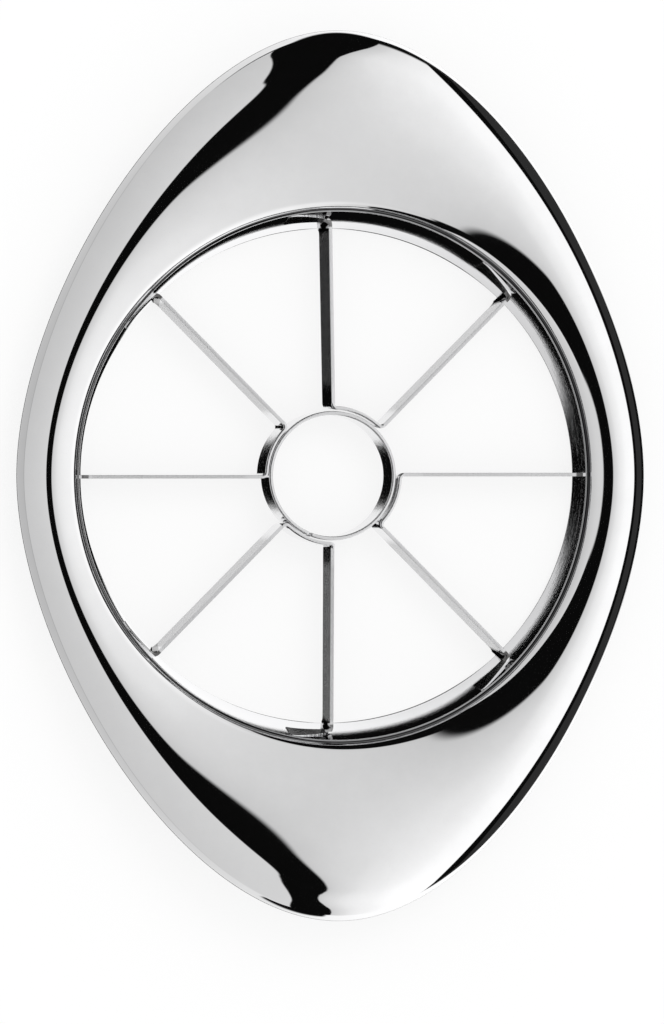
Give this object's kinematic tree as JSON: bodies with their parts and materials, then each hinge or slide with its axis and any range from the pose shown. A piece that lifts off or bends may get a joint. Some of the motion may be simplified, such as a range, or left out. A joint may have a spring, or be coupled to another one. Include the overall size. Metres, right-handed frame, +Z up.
{
  "type": "fruit wedge divider",
  "caption": "Hand-held fruit divider: polished lemon-shaped metal frame round a thin blade ring, with folded spoke blades and a rolled core tube.",
  "frame": {"origin": "centre of the core tube, in the plane of the blades' lower edges, which the part rests on", "axes": "+Z up, to the side with the polished raised frame; +Y along the frame's length; +X across it"},
  "size_m": [0.119, 0.165, 0.0185],
  "materials": {
    "polished_frame": "mirror polished",
    "ring_steel": "bright rolled sheet",
    "blade_steel": "bright rolled sheet with fine roll marks"
  },
  "bodies": {
    "root": {"frame_body": "polished_frame", "blade_ring": "ring_steel", "core_tube": "blade_steel", "blade_strip_upper_right": "blade_steel", "blade_strip_lower_right": "blade_steel", "blade_strip_lower_left": "blade_steel", "blade_strip_upper_left": "blade_steel"}
  },
  "joints": []
}
